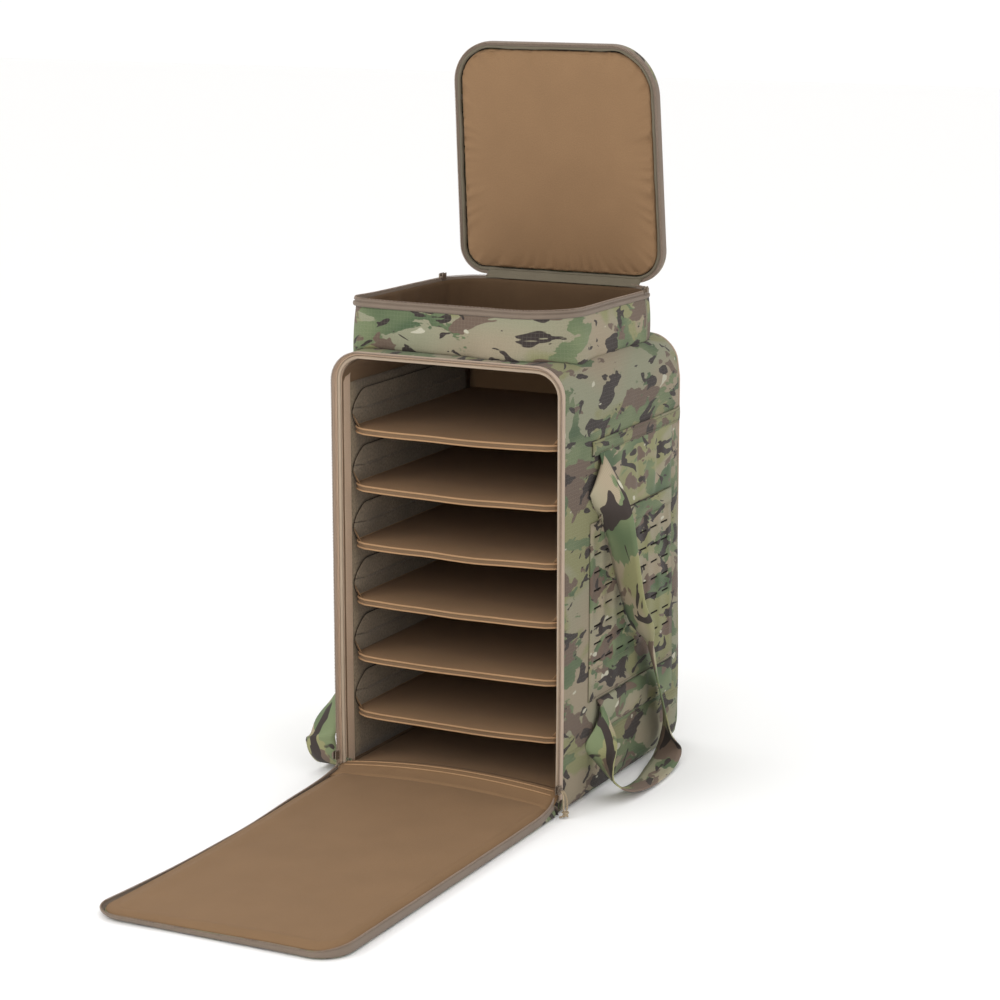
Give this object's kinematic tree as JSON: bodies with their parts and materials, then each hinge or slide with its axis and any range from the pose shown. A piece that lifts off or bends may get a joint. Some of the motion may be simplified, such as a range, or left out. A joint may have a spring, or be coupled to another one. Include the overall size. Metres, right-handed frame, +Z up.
{
  "type": "drone carrying case",
  "caption": "Tall soft case with padded slide-out shelves for small quadcopters, a fold-down zipped front panel and a lidded top compartment.",
  "frame": {"origin": "middle of the flat base of the main body, on the surface it stands on", "axes": "+X to the case's right seen from the open front, +Y to its back, +Z up"},
  "size_m": [0.462, 1.0402, 1.0298],
  "materials": {
    "camo_fabric": null,
    "camo_laminate": "matt laminated fabric, laser cut, in the same camouflage",
    "camo_webbing": "woven nylon webbing, printed camouflage",
    "lining_fabric": "matt coyote brown nylon",
    "loop_pile": "brushed loop pile",
    "binding": "woven grosgrain binding",
    "zip_tape": "woven zip tape",
    "zip_coil": "moulded nylon coil",
    "slider_metal": "satin painted zinc",
    "paracord": "braided nylon cord",
    "foam": "closed cell foam",
    "stiffener": "polyethylene sheet"
  },
  "bodies": {
    "case_body": {"back_foam": "foam", "back_lining": "lining_fabric", "back_shell": "camo_fabric", "body_zip_coil": "zip_coil", "body_zip_tape": "zip_tape", "bottom_shell": "camo_fabric", "carry_strap_left": "camo_webbing", "carry_strap_right": "camo_webbing", "floor_board": "stiffener", "floor_pad": "foam", "front_rim": "binding", "front_sill": "camo_fabric", "haul_handle": "camo_webbing", "loop_lining_left": "loop_pile", "loop_lining_right": "loop_pile", "lower_sleeve_left": "camo_webbing", "lower_sleeve_right": "camo_webbing", "shoulder_foam": "foam", "side_wrap_shell": "camo_fabric", "tier_floor": "lining_fabric", "tier_foam": "foam", "tier_lining": "lining_fabric", "tier_shell": "camo_fabric", "tier_zip_coil": "zip_coil", "tier_zip_tape": "zip_tape", "top_foam": "foam", "top_lining": "lining_fabric", "upper_sleeve_left": "camo_webbing", "upper_sleeve_right": "camo_webbing", "wall_foam_left": "foam", "wall_foam_right": "foam", "webbing_panel_back": "camo_laminate", "webbing_panel_left": "camo_laminate", "webbing_panel_right": "camo_laminate"},
    "lid": {"lid_hinge_welt": "binding", "lid_lining": "lining_fabric", "lid_padding": "foam", "lid_shell": "camo_fabric", "lid_zip_coil": "zip_coil", "lid_zip_tape": "zip_tape"},
    "lid_zip_left": {"lid_slider_left": "slider_metal"},
    "lid_zip_right": {"lid_slider_right": "slider_metal"},
    "front_panel": {"panel_board": "stiffener", "panel_foam": "foam", "panel_hinge_welt": "binding", "panel_lining": "lining_fabric", "panel_shell": "camo_fabric", "panel_zip_coil": "zip_coil", "panel_zip_tape": "zip_tape"},
    "shelf_tray_1": {"shelf_1": "lining_fabric"},
    "shelf_tray_2": {"shelf_2": "lining_fabric"},
    "shelf_tray_3": {"shelf_3": "lining_fabric"},
    "shelf_tray_4": {"shelf_4": "lining_fabric"},
    "shelf_tray_5": {"shelf_5": "lining_fabric"},
    "shelf_tray_6": {"shelf_6": "lining_fabric"},
    "front_zip_left": {"zip_slider_left": "slider_metal"},
    "front_zip_right": {"zip_slider_right": "slider_metal", "pull_cord": "paracord", "pull_knot": "paracord"}
  },
  "joints": [
    {"name": "panel_hinge", "type": "hinge", "parent": "case_body", "child": "front_panel", "pos_m": [0, -0.212, 0.02], "axis": [1, 0, 0], "range_deg": [-90, 0]},
    {"name": "lid_hinge", "type": "hinge", "parent": "case_body", "child": "lid", "pos_m": [0, 0.1665, 0.692], "axis": [-1, 0, 0], "range_deg": [-85, 80]},
    {"name": "shelf_1_slide", "type": "slide", "parent": "case_body", "child": "shelf_tray_1", "axis": [0, -1, 0], "range_m": [0, 0.34]},
    {"name": "shelf_2_slide", "type": "slide", "parent": "case_body", "child": "shelf_tray_2", "axis": [0, -1, 0], "range_m": [0, 0.34]},
    {"name": "shelf_3_slide", "type": "slide", "parent": "case_body", "child": "shelf_tray_3", "axis": [0, -1, 0], "range_m": [0, 0.34]},
    {"name": "shelf_4_slide", "type": "slide", "parent": "case_body", "child": "shelf_tray_4", "axis": [0, -1, 0], "range_m": [0, 0.34]},
    {"name": "shelf_5_slide", "type": "slide", "parent": "case_body", "child": "shelf_tray_5", "axis": [0, -1, 0], "range_m": [0, 0.34]},
    {"name": "shelf_6_slide", "type": "slide", "parent": "case_body", "child": "shelf_tray_6", "axis": [0, -1, 0], "range_m": [0, 0.34]},
    {"name": "front_zip_left_slide", "type": "slide", "parent": "case_body", "child": "front_zip_left", "axis": [0, 0, 1], "range_m": [0, 0.535]},
    {"name": "front_zip_right_slide", "type": "slide", "parent": "case_body", "child": "front_zip_right", "axis": [0, 0, 1], "range_m": [0, 0.535]},
    {"name": "lid_zip_left_slide", "type": "slide", "parent": "case_body", "child": "lid_zip_left", "axis": [0, -1, 0], "range_m": [0, 0.21]},
    {"name": "lid_zip_right_slide", "type": "slide", "parent": "case_body", "child": "lid_zip_right", "axis": [0, -1, 0], "range_m": [0, 0.21]}
  ]
}
